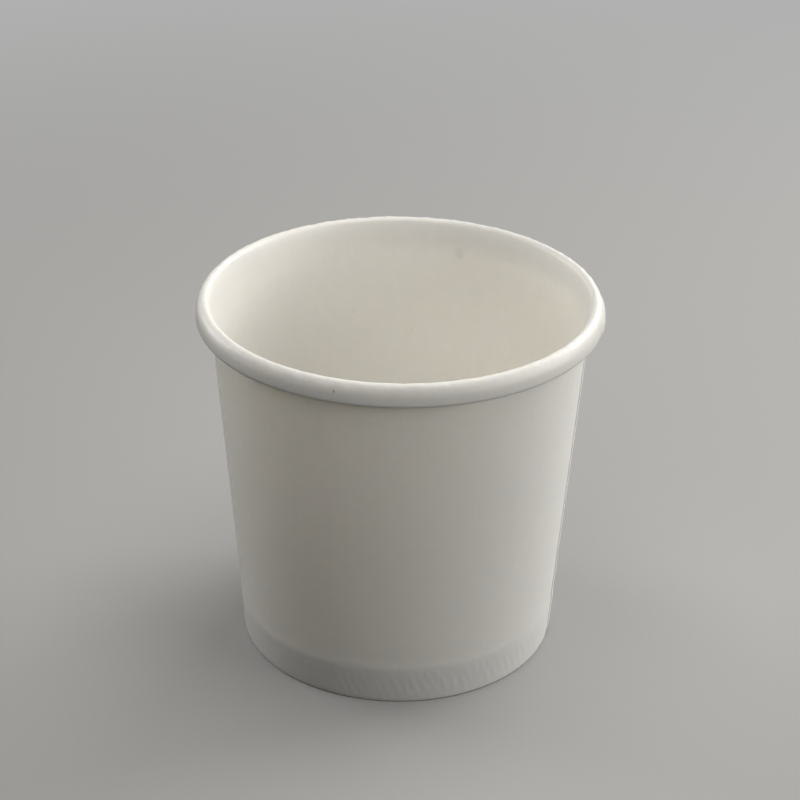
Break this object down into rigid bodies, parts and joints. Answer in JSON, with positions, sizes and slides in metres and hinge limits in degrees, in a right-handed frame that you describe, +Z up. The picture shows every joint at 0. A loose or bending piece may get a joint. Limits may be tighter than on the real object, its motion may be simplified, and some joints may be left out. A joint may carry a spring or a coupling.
{
  "type": "paper soup bowl",
  "caption": "Round white paperboard soup bowl with tapered wall, rolled rim that takes a push-fit lid, lap seam and a raised floor sealed in a folded base hem.",
  "frame": {"origin": "centre of the base ring, on the table the bowl stands on", "axes": "+Z up along the bowl's axis; +X towards the lap seam, so the picture looks from -Y"},
  "size_m": [0.0902, 0.09, 0.0837],
  "materials": {
    "wall_board": "matt outside, satin coated inside",
    "floor_board": "satin coated"
  },
  "bodies": {
    "root": {"side_wall": "wall_board", "bottom_disc": "floor_board"}
  },
  "joints": []
}
